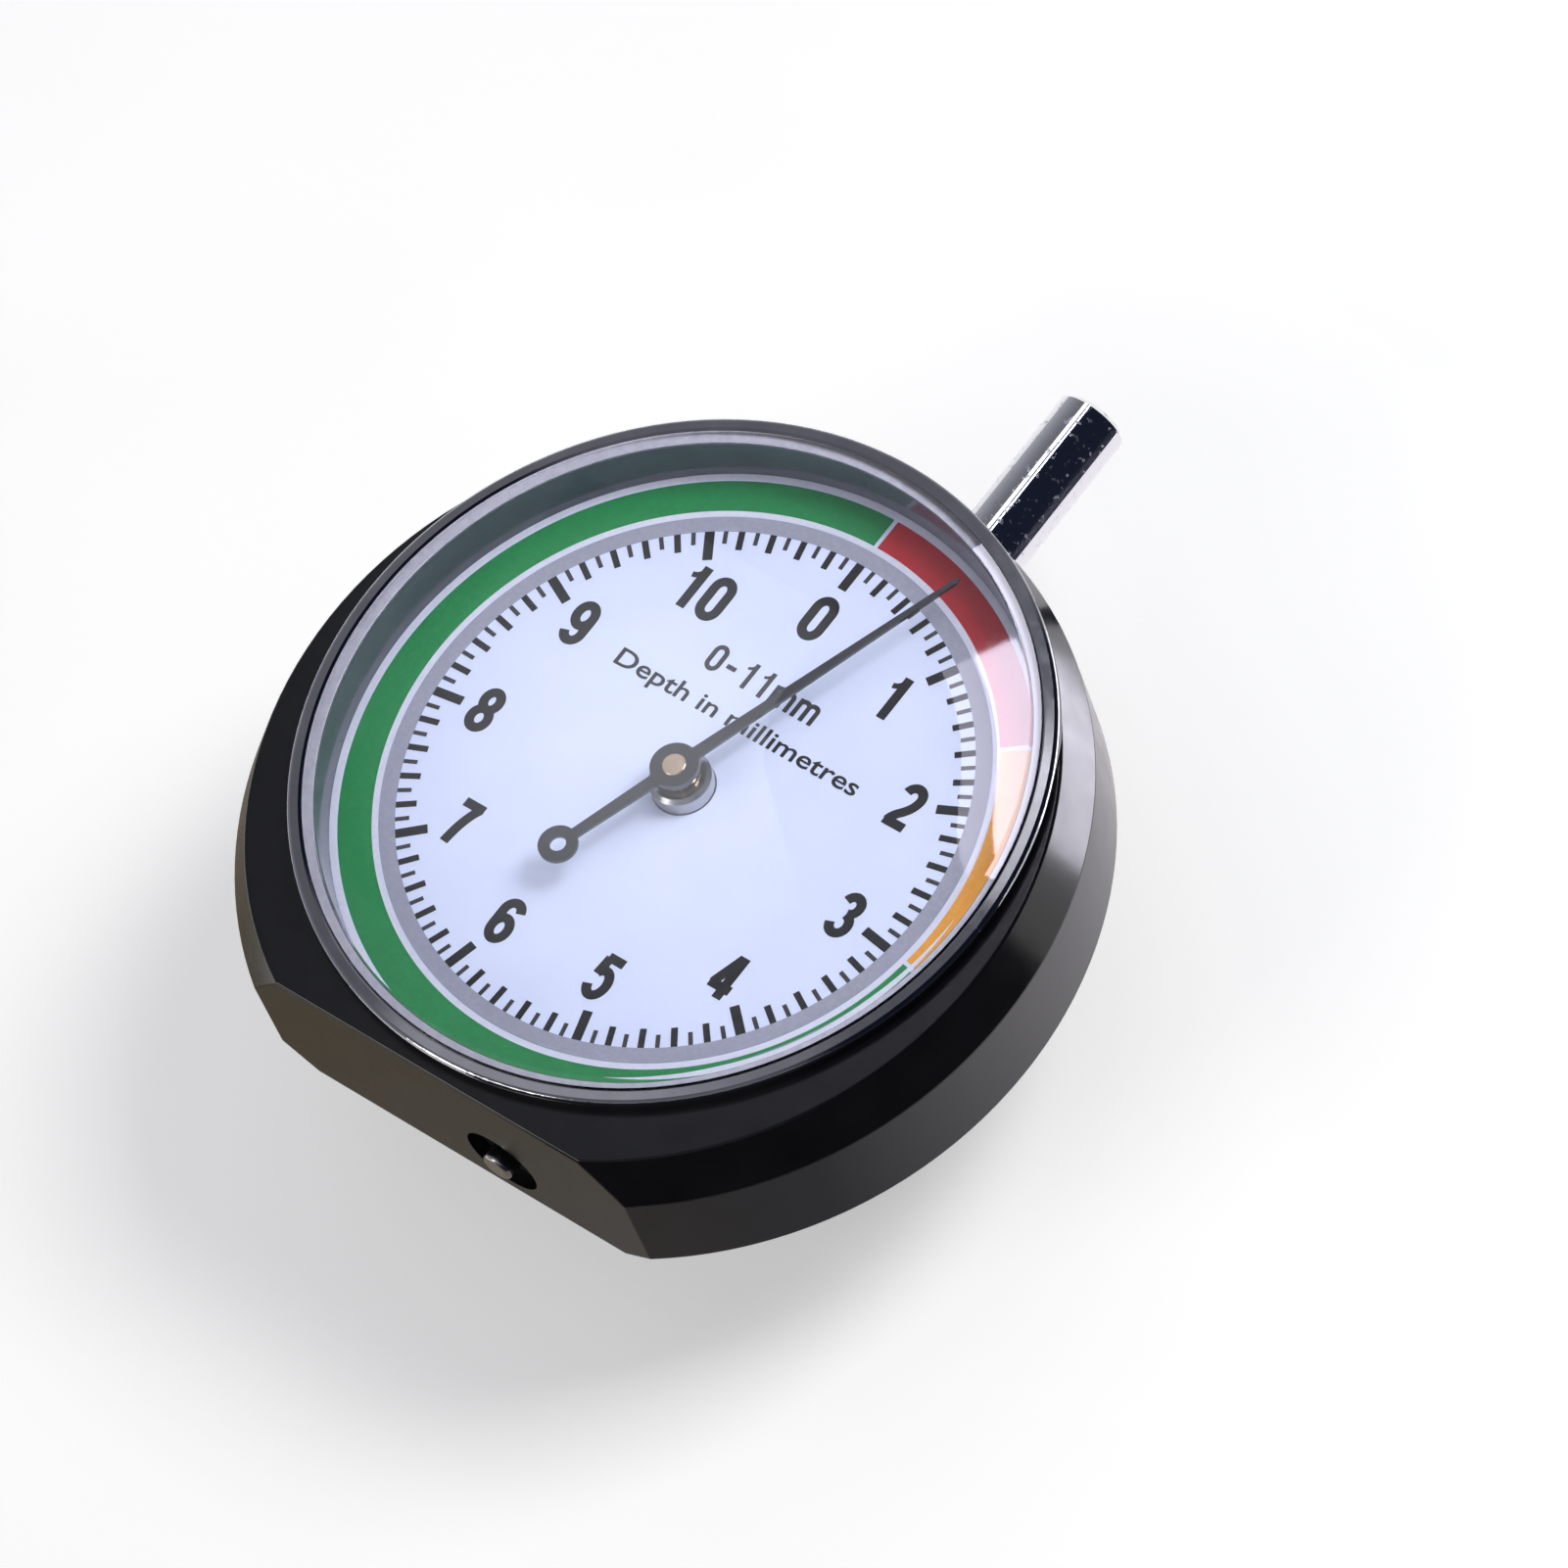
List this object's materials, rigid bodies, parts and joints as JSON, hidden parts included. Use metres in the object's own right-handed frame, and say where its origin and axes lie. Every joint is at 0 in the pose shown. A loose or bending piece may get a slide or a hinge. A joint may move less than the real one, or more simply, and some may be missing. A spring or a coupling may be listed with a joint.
{
  "type": "tire tread depth gauge",
  "caption": "Pocket dial gauge for tire tread depth: round black case with a flat measuring foot, spring plunger, probe pin and a pointer driven by rack and pinion.",
  "frame": {"origin": "centre of the flat on the rear cover, on the pointer arbor's axis", "axes": "+Z out of the dial towards the reader, +Y towards the plunger, +X to the dial's right; the gauge lies on its back"},
  "size_m": [0.051, 0.0583, 0.023],
  "materials": {
    "case_black": "satin",
    "cover_black": "satin",
    "gasket_rubber": "matte",
    "screw_steel": "machined",
    "bezel_chrome": "polished",
    "crystal_glass": "polished",
    "rehaut_black": "gloss",
    "dial_face": "satin print",
    "plate_brass": "brushed",
    "arbor_steel": "ground",
    "bush_black": "matte",
    "plunger_chrome": "mirror",
    "spring_steel": "drawn wire",
    "pointer_black": "gloss",
    "collet_brass": "turned"
  },
  "bodies": {
    "case": {"case": "case_black", "rear_cover": "cover_black", "cover_gasket": "gasket_rubber", "cover_screws": "screw_steel", "bezel": "bezel_chrome", "crystal": "crystal_glass", "crystal_gasket": "gasket_rubber", "rehaut": "rehaut_black", "dial": "dial_face", "front_plate": "plate_brass", "rear_bridge": "plate_brass", "pillars": "plate_brass", "bridge_screws": "screw_steel", "plate_screws": "screw_steel", "arbor_bush": "arbor_steel", "rear_bush": "plate_brass", "upper_bush": "case_black", "foot_bush": "bush_black", "return_spring": "spring_steel"},
    "plunger": {"plunger": "plunger_chrome", "rack": "arbor_steel", "guide_pin": "arbor_steel", "probe": "arbor_steel", "spring_collar": "plate_brass"},
    "pointer": {"arbor": "arbor_steel", "pinion": "plate_brass", "pointer": "pointer_black", "pointer_collet": "collet_brass"}
  },
  "joints": [
    {"name": "plunger_press", "type": "slide", "parent": "case", "child": "plunger", "axis": [0, -1, 0], "range_m": [0, 0.0104], "stiffness_N_per_m": 120, "springref_m": -0.005, "deforming": ["return_spring"]},
    {"name": "pointer_turn", "type": "hinge", "parent": "case", "child": "pointer", "pos_m": [0, 0, 0.0144], "axis": [0, 0, 1], "range_deg": [-341, 0]}
  ],
  "couplings": [
    {"joint": "pointer_turn", "follows": "plunger_press", "rad_per_m": -571.43}
  ]
}
